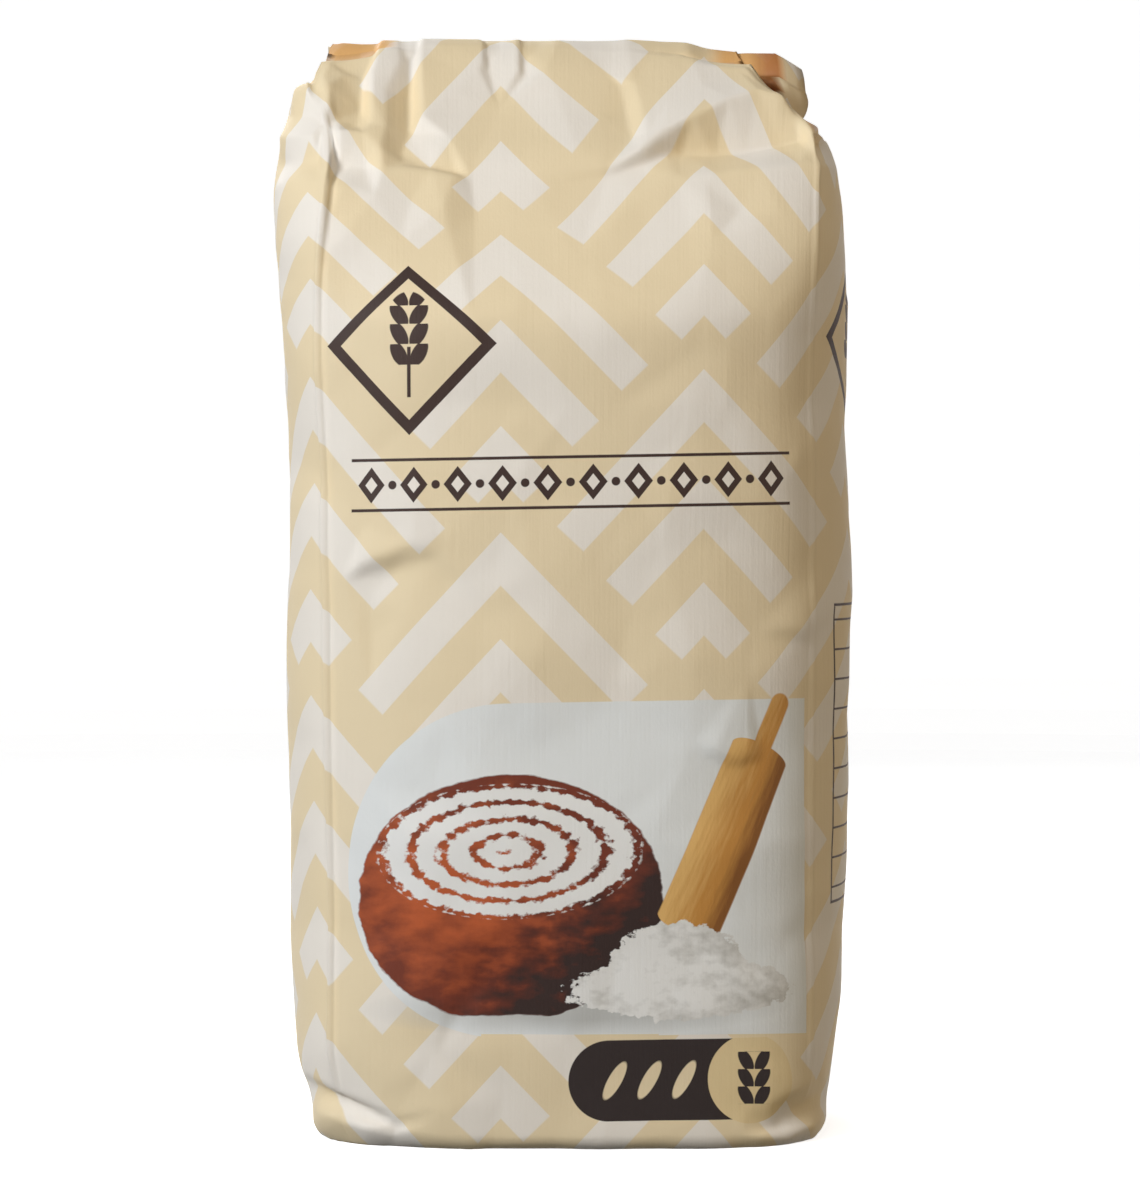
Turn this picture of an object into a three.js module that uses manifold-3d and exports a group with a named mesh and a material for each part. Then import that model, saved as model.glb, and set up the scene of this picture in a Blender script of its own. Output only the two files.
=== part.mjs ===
// A one-kilogram paper bag of flour, standing on its block bottom: a filled paper tube with four
// creased edges, a leaning gable at the top whose sides are tucked in, and the doubled fin of the
// closure folded over to the back. Millimetres, +Z up, the front face towards -Y, the origin at the
// middle of the base.
import * as THREE from "three";
import { mergeVertices } from "three/addons/utils/BufferGeometryUtils.js";
import Module from "manifold-3d";

// Overall shape of the filled tube
const RIDGE_Z = 206; // where front and back paper meet under the fin
const CREASE_X = 45; // half the distance between the two creases of a face
const CREASE_Y = 27.5; // half the distance between the front and back creases
const FACE_BULGE = 8.5; // how far the flour pushes out the middle of a face
const SIDE_BULGE = 9.2; // and the middle of a side
const BULGE_POWER = 2.3; // higher is flatter in the middle of a panel
const TOP_LEAN_X = -3; // the upper part sits this far to the left

// The base
const BASE_RADIUS = 7; // rounding all round the foot
const CORNER_PULL = 5; // extra rounding at the four corners of the foot
const CORNER_TOP = 20; // height where that extra rounding has faded
const CORNER_LIFT = { left: 4.5, right: 1.5 }; // the folded corners stand off the table

// The gable
const FACE_LEAN_Z = 150; // the middle of the front starts to lean back here
const CREASE_LEAN_Z = 168; // the creases start later
const BACK_LEAN_Z = 155;
const TUCK_Z = 189; // the side is tucked in above this height
const TUCK_DEPTH = 29; // how far in it reaches under the fin
const TUCK_SIDE_X = 49.5; // half the width at the fold where the tuck starts
const EAR_THICK = 2.2; // the doubled paper beside a tuck at the ridge, measured front to back
const EAR_FULL = 4; // how much thicker and wider it is where the tuck starts
const EAR_DROP = { left: 4, right: 10 }; // the front paper sags at the two ends of the ridge
const EAR_DROP_SPAN = { left: 16, right: 30 };

// The fin
const FIN_ENDS = [-46.5, 43.5]; // its two ends in x
const FIN_FOOT_Z = 188; // its free edge, low on the back
const FIN_THICK = 1.6;
const FIN_TOP_Z = 210;
const FIN_ROOT = 1; // how deep it reaches into the paper it lies on
const FIN_SAG = 2; // the right end is lower
const FIN_STATIONS = 24;

// Creases pressed into the front: start and end in mm from the centre line and the table, the depth
// at the middle, and the half width of the dent.
const FRONT_CREASES = [
  { from: [6, 183], to: [46, 190], depth: 2.6, reach: 6 },
  { from: [-29, 199], to: [-32, 184], depth: 2.2, reach: 4 },
  { from: [-36, 186], to: [-20, 180], depth: 2.4, reach: 5 },
  { from: [-45, 194], to: [-20, 174], depth: 1.6, reach: 7 },
  { from: [-44, 106], to: [-28, 110], depth: 1.6, reach: 6 },
];

// Divisions
const FACE_CELLS = 26;
const EAR_CELLS = 4;
const SIDE_CELLS = 9;
const BASE_ROWS = 5;
const BODY_ROWS = 12;
const LEAN_ROWS = 9;
const TUCK_ROWS = 9;

const clamp01 = (x) => Math.min(1, Math.max(0, x));
const smooth = (x) => clamp01(x) ** 2 * (3 - 2 * clamp01(x));
const mix = (a, b, t) => a + (b - a) * t;
const rise = (z, from, to, power) => clamp01((z - from) / (to - from)) ** power;
const bulge = (q) => 1 - Math.abs(q) ** BULGE_POWER;

// The measures of the cross-section at height z, as if the foot had no rounding.
function sectionAt(z) {
  const full = smooth(z / 60);
  const tuck = clamp01((z - TUCK_Z) / (RIDGE_Z - TUCK_Z));
  return {
    shift: TOP_LEAN_X * smooth((z - 130) / 50),
    creaseX: CREASE_X + 2.5 * smooth((z - 150) / 30) - 1.2 * (1 - full),
    sideBulge: SIDE_BULGE * mix(0.86, 1, full) * (1 - 0.75 * smooth((z - 158) / 34)),
    frontCrease: -CREASE_Y + 26 * rise(z, CREASE_LEAN_Z, RIDGE_Z, 1.4),
    frontMiddle: -CREASE_Y - FACE_BULGE * mix(0.7, 1, full) + 38 * rise(z, FACE_LEAN_Z, RIDGE_Z, 1.35),
    backCrease: CREASE_Y - 20 * rise(z, CREASE_LEAN_Z, RIDGE_Z, 1.4),
    backMiddle: CREASE_Y + FACE_BULGE * mix(0.7, 1, full) - 28.5 * rise(z, BACK_LEAN_Z, RIDGE_Z, 1.5),
    tuck,
    foldAt: Math.max(0.12, 0.47 * tuck),
  };
}

// How far a crease presses in the front at a point of it.
function creaseDepth(x, z) {
  let depth = 0;
  for (const crease of FRONT_CREASES) {
    const [x0, z0] = crease.from;
    const [dx, dz] = [crease.to[0] - x0, crease.to[1] - z0];
    const along = clamp01(((x - x0) * dx + (z - z0) * dz) / (dx * dx + dz * dz));
    const off = Math.hypot(x - x0 - along * dx, z - z0 - along * dz);
    depth += crease.depth * Math.max(0, 1 - off / crease.reach) * (0.4 + 2.4 * along * (1 - along));
  }
  return depth;
}

// How far back the front or the back paper is. Across runs from -1, the left crease, to 1, the right.
function faceY(section, face, across) {
  const crease = face === "front" ? section.frontCrease : section.backCrease;
  const middle = face === "front" ? section.frontMiddle : section.backMiddle;
  return mix(crease, middle, bulge(across));
}

function facePoint(section, face, across, z) {
  const x = across * section.creaseX;
  const pressed = face === "front" ? creaseDepth(x + section.shift, z) : 0;
  return [section.shift + x, faceY(section, face, across) + pressed];
}

// A point of a side: along runs from 0, the front crease, to 1, the back crease. Below the gable it
// bulges; in the gable it turns in along one ear, crosses the tuck and comes out along the other ear.
function sidePoint(section, side, along) {
  const { creaseX, frontCrease, backCrease, tuck, foldAt } = section;
  const round = [creaseX + section.sideBulge * bulge(2 * along - 1), mix(frontCrease, backCrease, along)];
  const tuckX = TUCK_SIDE_X - TUCK_DEPTH * tuck;
  const full = EAR_FULL * (1 - tuck);
  const earPoint = (face, inwards, t) => {
    const x = mix(creaseX, tuckX, t) + full * Math.sin(Math.PI * Math.min(1, 1.4 * t));
    const thick = (EAR_THICK + full) * Math.min(1, 3 * t);
    return [x, faceY(section, face, Math.min(1, x / creaseX)) + inwards * thick];
  };
  let folded;
  if (along < foldAt) folded = earPoint("front", 1, along / foldAt);
  else if (along > 1 - foldAt) folded = earPoint("back", -1, (1 - along) / foldAt);
  else {
    const t = (along - foldAt) / (1 - 2 * foldAt);
    folded = [tuckX, mix(earPoint("front", 1, 1)[1], earPoint("back", -1, 1)[1], t)];
  }
  const t = smooth(tuck * 3);
  return [section.shift + side * mix(round[0], folded[0], t), mix(round[1], folded[1], t)];
}

// The fractions of a side's paper where its mesh lines run. The two folds of the tuck are mesh lines.
function sideStops(section) {
  const stops = [];
  for (let i = 1; i <= EAR_CELLS; i++) stops.push((section.foldAt * i) / EAR_CELLS);
  for (let i = 1; i < SIDE_CELLS; i++) stops.push(mix(section.foldAt, 1 - section.foldAt, i / SIDE_CELLS));
  for (let i = 0; i < EAR_CELLS; i++) stops.push(1 - section.foldAt * (1 - i / EAR_CELLS));
  return stops;
}

// The front paper is lower at the ends of the ridge, where the tucks gape.
function earDrop(x, z) {
  const end = x < 0 ? "left" : "right";
  const reach = smooth((Math.abs(x) - (CREASE_X - EAR_DROP_SPAN[end])) / EAR_DROP_SPAN[end]);
  return EAR_DROP[end] * reach * rise(z, TUCK_Z, RIDGE_Z, 1);
}

// One closed outline of the bag at height z, as [x, y, z] points, the corners of the foot included.
function ringAt(z, inset = 0) {
  const section = sectionAt(z);
  const ring = [];
  for (let i = 0; i <= FACE_CELLS; i++) {
    const across = mix(-1, 1, i / FACE_CELLS);
    const [x, y] = facePoint(section, "front", across, z);
    ring.push([x, y, z - earDrop(x, z), Math.abs(across)]);
  }
  const stops = sideStops(section);
  const sideRingPoint = (side, along) => {
    const [x, y] = sidePoint(section, side, along);
    const drop = along < 0.5 ? earDrop(x, z) * smooth(2 - (2 * along) / (section.foldAt + 0.01)) : 0;
    return [x, y, z - drop, Math.abs(2 * along - 1)];
  };
  for (const along of stops) ring.push(sideRingPoint(1, along));
  for (let i = FACE_CELLS; i >= 0; i--) {
    const across = mix(-1, 1, i / FACE_CELLS);
    ring.push([...facePoint(section, "back", across, z), z, Math.abs(across)]);
  }
  for (const along of [...stops].reverse()) ring.push(sideRingPoint(-1, along));
  const nearFoot = 1 - smooth(z / CORNER_TOP);
  return ring.map(([x, y, height, towardsCorner]) => {
    const pull = CORNER_PULL * towardsCorner ** 6 * nearFoot;
    const keep = 1 - (inset + pull) / Math.hypot(x, y);
    const lift = CORNER_LIFT[x < 0 ? "left" : "right"] * towardsCorner ** 4 * (1 - inset / BASE_RADIUS);
    return [x * keep, y * keep, height + lift * nearFoot];
  });
}

function tubeGeometry() {
  const made = [];
  for (let i = 0; i < BASE_ROWS; i++) {
    const angle = (Math.PI / 2) * (i / BASE_ROWS);
    made.push(ringAt(BASE_RADIUS * (1 - Math.cos(angle)), BASE_RADIUS * (1 - Math.sin(angle))));
  }
  for (let i = 0; i < BODY_ROWS; i++) made.push(ringAt(mix(BASE_RADIUS, FACE_LEAN_Z, i / BODY_ROWS)));
  for (let i = 0; i < LEAN_ROWS; i++) made.push(ringAt(mix(FACE_LEAN_Z, TUCK_Z, i / LEAN_ROWS)));
  for (let i = 0; i <= TUCK_ROWS; i++) made.push(ringAt(mix(TUCK_Z, RIDGE_Z, i / TUCK_ROWS)));
  return closedLoft(made, ([x, y]) => new THREE.Vector2(x, y));
}

// A closed surface through a row of outlines with equal numbers of points. Its two ends are filled in
// the plane that flatten gives. Each outline runs anticlockwise seen from the last one.
function closedLoft(outlines, flatten) {
  const count = outlines[0].length;
  const triangles = [];
  for (let row = 0; row + 1 < outlines.length; row++) {
    for (let i = 0; i < count; i++) {
      const [a, b] = [row * count + i, row * count + ((i + 1) % count)];
      triangles.push(a, b, b + count, a, b + count, a + count);
    }
  }
  const fill = (outline) => THREE.ShapeUtils.triangulateShape(outline.map(flatten), []);
  for (const [a, b, c] of fill(outlines[0])) triangles.push(a, c, b);
  const last = (outlines.length - 1) * count;
  for (const [a, b, c] of fill(outlines.at(-1))) triangles.push(last + a, last + b, last + c);
  const geometry = new THREE.BufferGeometry();
  geometry.setAttribute("position", new THREE.Float32BufferAttribute(outlines.flat(2), 3));
  geometry.setIndex(triangles);
  return geometry;
}

// The outline of the fin cut across at x, as [y, z] points: its face down the back, its crest, its
// front, and its root inside the paper it lies on.
function finOutline(x) {
  const across = Math.max(-1, Math.min(1, (x - TOP_LEAN_X) / (CREASE_X + 2.5)));
  const backAt = (z) => faceY(sectionAt(z), "back", across);
  const frontAt = mix(faceY(sectionAt(RIDGE_Z), "front", across), 3, smooth((x - 18) / 22));
  const sag = FIN_SAG * smooth((x - 14) / 30);
  const top = FIN_TOP_Z - sag;
  const down = [0, 0.25, 0.5, 0.75, 1].map((t) => mix(FIN_FOOT_Z, RIDGE_Z - 2, t));
  const outline = down.map((z) => [backAt(z) + FIN_THICK, z - sag]);
  outline.push([backAt(RIDGE_Z) + 1.4, top - 3], [backAt(RIDGE_Z) + 0.4, top - 1]);
  outline.push([frontAt + 4.3, top], [frontAt + 3, top - 0.6], [frontAt + 1.7, top - 2.1]);
  outline.push([frontAt + 0.3, top - 4.8], [frontAt + 1.5, RIDGE_Z - 3 - sag]);
  for (const z of down.reverse().slice(1)) outline.push([backAt(z) - FIN_ROOT, z - sag]);
  return outline;
}

function finGeometry() {
  const outlines = [];
  for (let i = 0; i <= FIN_STATIONS; i++) {
    const x = mix(...FIN_ENDS, i / FIN_STATIONS);
    outlines.push(finOutline(x).map(([y, z]) => [x, y, z]));
  }
  return closedLoft(outlines, ([, y, z]) => new THREE.Vector2(y, z));
}

// A closed geometry as a manifold-3d solid: only positions, shared vertices merged.
function solidOf(wasm, geometry) {
  const bare = geometry.clone();
  for (const name of Object.keys(bare.attributes)) if (name !== "position") bare.deleteAttribute(name);
  const merged = mergeVertices(bare, 1e-4);
  return new wasm.Manifold(
    new wasm.Mesh({
      numProp: 3,
      vertProperties: merged.getAttribute("position").array,
      triVerts: new Uint32Array(merged.getIndex().array),
    }),
  );
}

function geometryOf(solid) {
  const mesh = solid.getMesh();
  const geometry = new THREE.BufferGeometry();
  geometry.setAttribute("position", new THREE.Float32BufferAttribute(Array.from(mesh.vertProperties), 3));
  geometry.setIndex(Array.from(mesh.triVerts));
  geometry.computeVertexNormals();
  return geometry;
}

const wasm = await Module();
wasm.setup();

const paper = new THREE.MeshStandardMaterial({ color: 0xe6d8b8, roughness: 0.6, metalness: 0 });
const bag = new THREE.Mesh(
  geometryOf(solidOf(wasm, tubeGeometry()).add(solidOf(wasm, finGeometry())).simplify(0.01)),
  paper,
);
bag.name = "flour_bag";

const box = new THREE.Box3().setFromObject(bag);
bag.position.set(-(box.min.x + box.max.x) / 2, -(box.min.y + box.max.y) / 2, -box.min.z);

const group = new THREE.Group();
group.add(bag);

export default group;
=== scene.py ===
import math

import bpy
import numpy as np
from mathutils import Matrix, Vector
from mathutils.geometry import delaunay_2d_cdt


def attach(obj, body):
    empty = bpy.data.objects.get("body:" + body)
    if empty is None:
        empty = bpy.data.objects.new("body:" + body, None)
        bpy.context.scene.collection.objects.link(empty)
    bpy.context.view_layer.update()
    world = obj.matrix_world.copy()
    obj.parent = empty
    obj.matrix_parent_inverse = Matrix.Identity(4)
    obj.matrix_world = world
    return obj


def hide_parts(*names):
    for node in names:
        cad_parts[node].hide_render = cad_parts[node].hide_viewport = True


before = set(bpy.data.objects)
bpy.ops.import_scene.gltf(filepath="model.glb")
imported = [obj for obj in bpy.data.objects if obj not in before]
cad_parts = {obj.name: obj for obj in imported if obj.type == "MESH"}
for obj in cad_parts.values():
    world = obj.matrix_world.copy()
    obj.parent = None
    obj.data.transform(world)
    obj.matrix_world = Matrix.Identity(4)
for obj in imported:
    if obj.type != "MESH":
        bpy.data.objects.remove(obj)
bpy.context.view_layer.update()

MM = 0.001
AXIS_X = 1.397  # the middle of the front, from the middle of the solid's box

# The camera looks level at the front.
EYE_DISTANCE = 600.0
EYE_HEIGHT = 101.3
LENS = 92.5
SENSOR = 36.0

# The gabled top. The sides are tucked in under the ridge, and the fin lies folded on the back.
RIDGE_Z = 206.0
TUCK_Z = 189.0
TUCK_Z_LEFT = 200.5
TUCK_SIDE_X = 49.5
TUCK_DEPTH = 29.0
EAR_THICK = 1.2  # the doubled paper beside a tuck
EAR_FULL = 4.0  # how much thicker and wider it is where the tuck starts
EAR_SHARE_LOW = 0.12  # share of a side's paper in each of its two ears, at the start of the tuck
EAR_SHARE_TOP = 0.47  # and at the ridge
LIP_START_X = 39.9  # the end of the right back ear, which turns forwards
LIP_END_X = 46.5
LIP_TURN = 2.4
FRONT_RISE = 1.4  # how far the front's upper edge stands up right of the middle
FIN_THICK = 1.3
FIN_OFFSET = 2.2  # from the back to the fin's outer paper
FIN_TOP = 211.4
FIN_HALF_WIDTH = 46.0
FIN_RISE = 6.5  # paper from the ridge up to the crest
FIN_OVER = 7.5  # paper from the crest down to where it lands on the back
FIN_PAPER = 36.0  # paper from the ridge over the crest to the free edge
FIN_CREST_RUN = 5.0  # how far behind the ridge the crest lies
FIN_RISE_PULL = 3.4  # how far the curve up to the crest is pulled back
FIN_OVER_PULL = 8.0  # and the curve over it
FIN_LANDING_Z = 204.5
FIN_FALL = 0.78  # height that one millimetre of paper takes on the back

# The foot: rounded all round, and pulled in at the four corners.
BASE_RADIUS = 3.0
CORNER_TOP = 20.0
CORNER_PULL_LEFT = 3.0
CORNER_PULL_RIGHT = 1.3
CORNER_LIFT_LEFT = 4.0
CORNER_LIFT_RIGHT = 0.6

# The panels between the creased edges.
BULGE_POWER = 2.9  # higher is flatter in the middle of a panel
RIGHT_EDGE_SET = 2.4  # how far the rounder right edge of the front is set back
RIGHT_EDGE_FADE = 16.0
FRONT_EDGE_POWER = 11
SIDE_EDGE_POWER = 4

# Mesh columns of the panels, and mesh rows as (from height, to height, number of rows).
FRONT_CELLS = 170
SIDE_CELLS = 44
BACK_CELLS = 62
FOOT_ROWS = 12
ROW_SPANS = [
    (BASE_RADIUS, 150, 150),
    (150, TUCK_Z, 60),
    (TUCK_Z, RIDGE_Z, 44),
    (RIDGE_Z, RIDGE_Z + FIN_RISE + FIN_OVER, 26),
    (RIDGE_Z + FIN_RISE + FIN_OVER, RIDGE_Z + FIN_PAPER, 16),
]

# Where the columns of each panel lie in the sheet, and the number that marks each panel.
FRONT = slice(0, FRONT_CELLS + 1)
RIGHT = slice(FRONT.stop, FRONT.stop + SIDE_CELLS - 1)
BACK = slice(RIGHT.stop, RIGHT.stop + BACK_CELLS + 1)
LEFT = slice(BACK.stop, BACK.stop + SIDE_CELLS - 1)
ON_FRONT, ON_RIGHT, ON_BACK, ON_LEFT = range(4)

# How the print lies on the paper.
PRINT_WIDTH_Z = 100.0  # the row that gives the print its width
PRINT_LEVEL_Z = 60.0  # print heights are z here
PRINT_ENLARGED = 1.0638  # how much larger the front looks than the middle of the bag
PRINT_GAIN_LEFT = 6.0  # print that the lean of the upper front hides
PRINT_GAIN_RIGHT = 1.5

# Half widths by height: the outline at the left and right, and the creases of the front and back.
OUTLINE_LEFT = [
    (0, 48.6), (4, 49.2), (8, 50.4), (13, 52), (27, 52.7), (50, 53.7), (82, 54.5), (101, 54.3),
    (134, 53.7), (148, 54.5), (157, 55.4), (167, 56.4), (178, 57.2), (186, 57.0), (195, 54.9),
    (199, 53.8), (202, 51.6), (206, 48),
]
OUTLINE_RIGHT = [
    (0, 49), (8, 49.6), (17, 50.9), (27, 52.2), (50, 53.1), (82, 53.7), (101, 54.1), (134, 53.8),
    (157, 53.8), (167, 53.4), (178, 52.2), (186, 50.8), (190, 49.4), (195, 47.2), (206, 45.5),
]
CREASE_LEFT = [
    (0, 44.6), (100, 45.2), (150, 47.0), (160, 47.0), (172, 46), (185, 45.3), (191, 45.8),
    (197, 48.6), (201, 50), (204, 49.2), (206, 48.2), (210, 47.2), (216, 46), (242, 44),
]
CREASE_RIGHT = [
    (0, 44.6), (100, 45.2), (150, 45.2), (187, 47), (191, 46), (195, 44.5), (198, 42.5),
    (201, 38.5), (205, 36), (209, 33), (242, 33),
]
BACK_LEFT = [(0, 44.6), (100, 45.2), (180, 46), (204, 47.2), (212, 48), (242, 46.5)]
BACK_RIGHT = [
    (0, 44.6), (100, 45.2), (180, 46), (190, 45.6), (197, 44.2), (203, 47.2), (209, 46), (242, 44.5),
]

# Depths by height: the middle and the creases of the front and the back.
FRONT_MIDDLE = [(0, -33.5), (60, -36), (151, -36), (155, -35), (186, -17.5), (206, 2.6), (212, 9)]
FRONT_CREASE = [
    (0, -27.3), (160, -27.5), (168, -26.8), (178, -22.5), (189, -14.5), (198, -6.5), (206, -0.2),
    (212, 4),
]
BACK_MIDDLE = [(0, 33.5), (60, 36), (153, 36), (165, 32.5), (180, 24.3), (195, 15), (206, 7.5)]
BACK_CREASE = [(0, 27.3), (160, 27.5), (170, 26.2), (180, 22.3), (195, 14), (206, 7.5)]


def clamp01(value):
    return np.clip(value, 0.0, 1.0)


def smooth(value):
    value = clamp01(value)
    return value * value * (3.0 - 2.0 * value)


def climb(value, start, length):
    """Goes softly from 0 at the start to 1 after the length."""
    return smooth((value - start) / length)


def fall(value, end, length):
    """Goes softly from 1 to 0, over the length before the end."""
    return smooth((end - value) / length)


def peak(distance, reach):
    """1 at no distance, and straight down to 0 at the reach on both sides."""
    return clamp01(1 - np.abs(distance) / reach)


def mix(a, b, t):
    return a + (b - a) * t


def bow(t, start, pull, end):
    """A quadratic curve from start to end."""
    return (1 - t) ** 2 * start + 2 * t * (1 - t) * pull + t * t * end


def bulge(q):
    return 1.0 - np.abs(np.clip(q, -1, 1)) ** BULGE_POWER


def curve(at, points, soft=2.5):
    """Runs smoothly through a short table of (height, size) pairs."""
    heights, sizes = zip(*points)
    return np.mean([np.interp(at + off, heights, sizes) for off in np.linspace(-soft, soft, 9)], axis=0)


def column(grid, index):
    return grid[:, index:index + 1]


def tuck_at(h, side):
    """How far a side is tucked in, from 0 to 1 at the ridge. Side is 1 at the right, -1 at the left."""
    start = TUCK_Z if side > 0 else TUCK_Z_LEFT
    return clamp01((h - start) / (RIDGE_Z - start))


def ear_share(h, side):
    """The share of a side's paper that lies in each of its ears."""
    return np.maximum(EAR_SHARE_LOW, EAR_SHARE_TOP * tuck_at(h, side))


def right_edge_set(h):
    """The right edge of the front is rounder than the left one."""
    return RIGHT_EDGE_SET * fall(h, TUCK_Z, RIGHT_EDGE_FADE)


def front_y(h, across):
    y = mix(curve(h, FRONT_CREASE), curve(h, FRONT_MIDDLE), bulge(across))
    return y + right_edge_set(h) * np.clip(across, 0, 1) ** FRONT_EDGE_POWER


def back_y(h, across):
    return mix(curve(h, BACK_CREASE), curve(h, BACK_MIDDLE), bulge(across))


def sag(h, x):
    """The closure sinks towards its right end, and drops off at its last stretch."""
    soft_drop = 1.7 * climb(x, 12.0, 26.0)
    end_drop = 3.2 * clamp01((x - 40.0) / 6.0)
    return (soft_drop + end_drop) * climb(h, 190.0, 14.0)


def ridge_rise(x):
    """The folded edge climbs from its left end and comes down again past the middle."""
    return 2.8 * climb(x, -47.0, 15.0) * (1 - climb(x, 2.0, 30.0))


def fin_path(h, x):
    """The outer paper of the fin at paper height h: up, over the crest and down the back."""
    across = np.clip(x / FIN_HALF_WIDTH, -1, 1)
    near_ends = climb(x, 10.0, 26.0) + climb(-x, 28.0, 14.0)
    root_y = mix(front_y(RIDGE_Z, across), back_y(RIDGE_Z, across) - FIN_OFFSET, near_ends)
    crest_y = root_y + FIN_CREST_RUN
    t = clamp01((h - RIDGE_Z) / FIN_RISE)
    rise_y = bow(t, root_y, root_y + FIN_RISE_PULL, crest_y)
    rise_z = bow(t, RIDGE_Z + ridge_rise(x), FIN_TOP + 0.1, FIN_TOP)
    past_crest = h - RIDGE_Z - FIN_RISE
    t = clamp01(past_crest / FIN_OVER)
    landing_y = back_y(FIN_LANDING_Z, across) + FIN_OFFSET
    over_y = bow(t, crest_y, root_y + FIN_OVER_PULL, landing_y)
    over_z = bow(t, FIN_TOP, FIN_TOP, FIN_LANDING_Z)
    past_landing = past_crest - FIN_OVER
    down_z = FIN_LANDING_Z - FIN_FALL * past_landing
    down_y = back_y(down_z, across) + FIN_OFFSET
    y = np.where(past_landing > 0, down_y, np.where(past_crest > 0, over_y, rise_y))
    z = np.where(past_landing > 0, down_z, np.where(past_crest > 0, over_z, rise_z))
    return y, z


def fin_layer(h, x, depth):
    """A layer of the fin, depth under its outer paper."""
    paper_step = 0.4
    y, z = fin_path(h, x)
    next_y, next_z = fin_path(h + paper_step, x)
    length = np.hypot(next_y - y, next_z - z)
    return y + (next_z - z) / length * depth, z - (next_y - y) / length * depth


def join_fin(h, x, y, depth):
    """Takes a point of the tube at height h on into the fin, depth below the fin's outer paper.

    The layers come closer together towards both ends of the fin.
    """
    thinner = mix(1.0, 0.15, climb(x, 28.0, 8.0)) * mix(1.0, 0.4, climb(-x, 38.0, 8.0))
    fin_y, fin_z = fin_layer(np.maximum(h, RIDGE_Z), x, depth * thinner)
    t = climb(h, RIDGE_Z, 2.5) if depth > 0 else (h > RIDGE_Z) * 1.0
    z = np.minimum(h, RIDGE_Z) + ridge_rise(x) * climb(h, 194.0, 12.0)
    return mix(y, fin_y, t), mix(z, fin_z, t) - sag(h, x)


def front_panel(h, q):
    """The front. Right of the middle its upper edge stands up a little before the fin."""
    x = mix(-curve(h, CREASE_LEFT), curve(h, CREASE_RIGHT), q)
    y = front_y(np.minimum(h, RIDGE_Z), 2 * q - 1)
    y, z = join_fin(h, x, y, 0.0)
    rise = FRONT_RISE * climb(x, 18.0, 8.0) * climb(h, 199.0, 7.0) * (h <= RIDGE_Z)
    return x, y + rise * 0.9, z + rise


def back_panel(h, q):
    x = mix(curve(h, BACK_RIGHT), -curve(h, BACK_LEFT), q)
    y = back_y(np.minimum(h, RIDGE_Z), 2 * q - 1)
    y, z = join_fin(h, x, y, FIN_THICK)
    return x, y, z


def lip(x, h):
    """The end of the back ear turns forwards at the right."""
    along_edge = clamp01((x - LIP_START_X) / 0.6) * clamp01((LIP_END_X - x) / 5.0)
    return -LIP_TURN * along_edge * climb(h, 195.0, 4.0) * fall(h, 214.0, 4.0)


def side_panel(h, along, side):
    """Along runs from the front crease to the back crease. The upper part is tucked in."""
    x_front = curve(h, CREASE_RIGHT if side > 0 else CREASE_LEFT)
    x_back = curve(h, BACK_RIGHT if side > 0 else BACK_LEFT)
    outline = curve(h, OUTLINE_RIGHT if side > 0 else OUTLINE_LEFT)
    low = np.minimum(h, RIDGE_Z)
    share = ear_share(h, side)
    tuck = tuck_at(h, side)
    x_round = mix(x_front, x_back, along)
    x_round = x_round + (outline - (x_front + x_back) / 2) * bulge(2 * along - 1)
    y_round = mix(curve(low, FRONT_CREASE), curve(low, BACK_CREASE), along)
    y_round = y_round + right_edge_set(low) * (1 - along) ** SIDE_EDGE_POWER * (side > 0)
    x_tuck = TUCK_SIDE_X - TUCK_DEPTH * tuck
    full = EAR_FULL * (1 - tuck)

    def ear(x_crease, face, inwards, t, depth):
        x = mix(x_crease, x_tuck, t) + full * np.sin(np.pi * np.minimum(1, 1.4 * t))
        y = face(low, np.minimum(1, x / x_crease)) + inwards * (EAR_THICK + full) * np.minimum(1, 4 * t)
        y, z = join_fin(h, side * x, y, depth)
        return x, y, z

    front = ear(x_front, front_y, 1, np.clip(along / share, 0, 1), 0.35 * FIN_THICK)
    back = ear(x_back, back_y, -1, np.clip((1 - along) / share, 0, 1), 0.7 * FIN_THICK)
    middle = np.clip((along - share) / (1 - 2 * share), 0, 1)
    folded = [mix(a, b, middle) for a, b in zip(front, back)]
    if side > 0:
        folded[1] = folded[1] + lip(folded[0], h) * (along > 1 - share)
    t = smooth(tuck * 3)
    return side * mix(x_round, folded[0], t), mix(y_round, folded[1], t), mix(low, folded[2], t)


def side_stops(h, side):
    """Where the mesh lines of a side run, as fractions of its paper, densest beside the tuck."""
    share = ear_share(h, side)
    ear_cells = SIDE_CELLS // 3
    ear = np.linspace(0, 1, ear_cells + 1)[None, 1:]
    middle = np.linspace(0, 1, SIDE_CELLS - 2 * ear_cells + 1)[None, 1:-1]
    return np.hstack([share * ear, mix(share, 1 - share, middle), 1 - share * ear[:, ::-1]])


def row_heights():
    """Paper heights of the mesh rows, from the edge of the floor to the free edge of the fin."""
    rows = [np.linspace(low, high, count, endpoint=False) for low, high, count in ROW_SPANS]
    return np.concatenate(rows + [[RIDGE_Z + FIN_PAPER]])


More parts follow.
